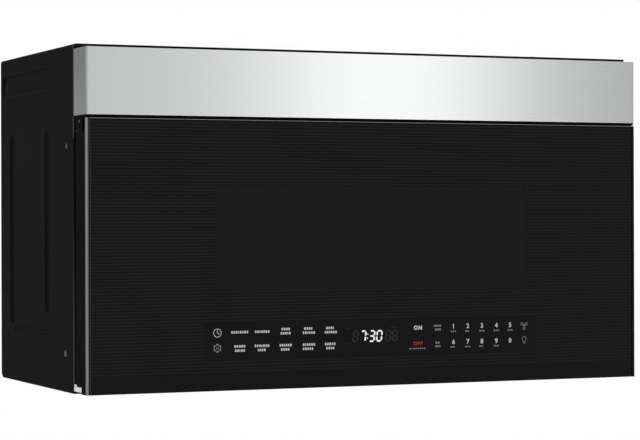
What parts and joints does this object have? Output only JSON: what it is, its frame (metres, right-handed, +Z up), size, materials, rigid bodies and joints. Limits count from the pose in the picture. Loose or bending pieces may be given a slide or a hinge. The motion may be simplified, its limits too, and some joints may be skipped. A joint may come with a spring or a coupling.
{
  "type": "over the range microwave oven",
  "caption": "Over-the-range convection microwave oven with a full-width ribbed black glass door, a brushed steel top band, touch controls and a cooktop hood.",
  "frame": {"origin": "centre of the underside's outline on the plane the base rests on", "axes": "+X to the right seen from the front, +Y to the rear towards the wall, +Z up; the door faces -Y"},
  "size_m": [0.759, 0.381, 0.427],
  "materials": {
    "case_paint": "satin",
    "galvanised_steel": "matte",
    "stainless_band": "brushed",
    "black_plastic": "fine grain",
    "zinc_plate": "zinc plated",
    "hinge_black": "satin",
    "black_screws": "satin",
    "charcoal": "matte",
    "filter_aluminium": "satin",
    "lamp_lens": "frosted",
    "lamp_white": "matte",
    "motor_steel": "satin",
    "fan_plastic": "matte",
    "cavity_enamel": "satin enamel",
    "mica": "matte",
    "tube_steel": "matte",
    "core_laminate": "satin",
    "diode_black": "gloss",
    "board_green": "satin",
    "heater_sheath": "matte",
    "fan_steel": "satin",
    "interlock_plastic": "matte",
    "switch_black": "satin",
    "plunger_red": "satin",
    "door_black_glass": "polished",
    "trim_metal": "satin",
    "door_steel": "satin",
    "window_pane": "polished",
    "display_black": "gloss",
    "tray_glass": "polished",
    "drive_plastic": "satin"
  },
  "bodies": {
    "housing": {"outer_case": "case_paint", "base_plate": "case_paint", "back_panel": "galvanised_steel", "top_support_bracket": "galvanised_steel", "vent_duct": "galvanised_steel", "vent_blower_housing": "galvanised_steel", "cooling_fan_housing": "galvanised_steel", "convection_housing": "galvanised_steel", "waveguide": "galvanised_steel", "top_vent_band": "stainless_band", "top_vent_grille": "black_plastic", "cord_bushing": "black_plastic", "lower_hinge_bracket": "zinc_plate", "hinge_screws": "zinc_plate", "upper_hinge_bracket": "hinge_black", "case_screws": "black_screws", "charcoal_filter": "charcoal", "grease_filter_left": "filter_aluminium", "grease_filter_right": "filter_aluminium", "cooktop_light_lens": "lamp_lens", "cooktop_lamps": "lamp_white", "cavity_lamp": "lamp_white", "vent_blower_motor": "motor_steel", "cooling_fan_motor": "motor_steel", "convection_motor": "motor_steel", "turntable_motor": "motor_steel", "thermal_cutouts": "motor_steel", "cavity_liner": "cavity_enamel", "waveguide_cover": "mica", "magnetron": "tube_steel", "high_voltage_capacitor": "tube_steel", "high_voltage_transformer": "core_laminate", "high_voltage_diode": "diode_black", "noise_filter_board": "board_green", "convection_heater": "heater_sheath", "interlock_bracket": "interlock_plastic", "interlock_switches": "switch_black"},
    "door": {"door_frame": "black_plastic", "door_glass": "door_black_glass", "left_door_trim": "trim_metal", "right_door_trim": "trim_metal", "door_panel": "door_steel", "window_screen": "door_steel", "inner_window_glass": "window_pane", "choke_cover": "black_plastic", "control_board": "board_green", "display_module": "display_black", "latch_spring": "zinc_plate"},
    "latch": {"door_latch": "interlock_plastic"},
    "turntable": {"glass_tray": "tray_glass", "turntable_coupling": "drive_plastic"},
    "roller_support": {"roller_ring": "drive_plastic"},
    "roller_rear": {"roller_1": "drive_plastic"},
    "roller_front_left": {"roller_2": "drive_plastic"},
    "roller_front_right": {"roller_3": "drive_plastic"},
    "vent_wheels": {"vent_blower_wheels": "fan_plastic"},
    "cooling_blade": {"cooling_fan_blade": "fan_plastic"},
    "convection_wheel": {"convection_fan": "fan_steel"},
    "lower_plunger": {"switch_plunger_lower": "plunger_red"},
    "upper_plunger": {"switch_plunger_upper": "plunger_red"}
  },
  "joints": [
    {"name": "door_swing", "type": "hinge", "parent": "housing", "child": "door", "pos_m": [-0.3685, -0.1545, 0.165], "axis": [0, 0, -1], "range_deg": [0, 105]},
    {"name": "latch_lift", "type": "slide", "parent": "door", "child": "latch", "axis": [0, 0, 1], "range_m": [0, 0.004], "stiffness_N_per_m": 300, "springref_m": -0.004, "deforming": ["latch_spring"]},
    {"name": "turntable_spin", "type": "hinge", "parent": "housing", "child": "turntable", "pos_m": [-0.03, 0.012, 0.0786], "axis": [0, 0, 1], "continuous": true},
    {"name": "roller_ring_spin", "type": "hinge", "parent": "housing", "child": "roller_support", "pos_m": [-0.03, 0.012, 0.0703], "axis": [0, 0, 1], "continuous": true},
    {"name": "roller_rear_spin", "type": "hinge", "parent": "roller_support", "child": "roller_rear", "pos_m": [-0.03, 0.111, 0.0703], "axis": [0, 1, 0], "continuous": true},
    {"name": "roller_front_left_spin", "type": "hinge", "parent": "roller_support", "child": "roller_front_left", "pos_m": [-0.11574, -0.0375, 0.0703], "axis": [-0.866, -0.5, 0], "continuous": true},
    {"name": "roller_front_right_spin", "type": "hinge", "parent": "roller_support", "child": "roller_front_right", "pos_m": [0.05574, -0.0375, 0.0703], "axis": [0.866, -0.5, 0], "continuous": true},
    {"name": "vent_blower_spin", "type": "hinge", "parent": "housing", "child": "vent_wheels", "pos_m": [0, 0.135, 0.3645], "axis": [1, 0, 0], "continuous": true},
    {"name": "cooling_fan_spin", "type": "hinge", "parent": "housing", "child": "cooling_blade", "pos_m": [0.3095, 0.14, 0.22], "axis": [0, 1, 0], "continuous": true},
    {"name": "convection_fan_spin", "type": "hinge", "parent": "housing", "child": "convection_wheel", "pos_m": [-0.319, 0.013, 0.175], "axis": [1, 0, 0], "continuous": true},
    {"name": "lower_plunger_press", "type": "slide", "parent": "housing", "child": "lower_plunger", "axis": [0, 1, 0], "range_m": [0, 0.0015], "stiffness_N_per_m": 200, "springref_m": -0.0015},
    {"name": "upper_plunger_press", "type": "slide", "parent": "housing", "child": "upper_plunger", "axis": [0, 1, 0], "range_m": [0, 0.0015], "stiffness_N_per_m": 200, "springref_m": -0.0015}
  ],
  "couplings": [
    {"joint": "roller_ring_spin", "follows": "turntable_spin", "ratio": 0.5},
    {"joint": "roller_rear_spin", "follows": "turntable_spin", "ratio": -6.1875},
    {"joint": "roller_front_left_spin", "follows": "turntable_spin", "ratio": -6.1875},
    {"joint": "roller_front_right_spin", "follows": "turntable_spin", "ratio": -6.1875}
  ]
}
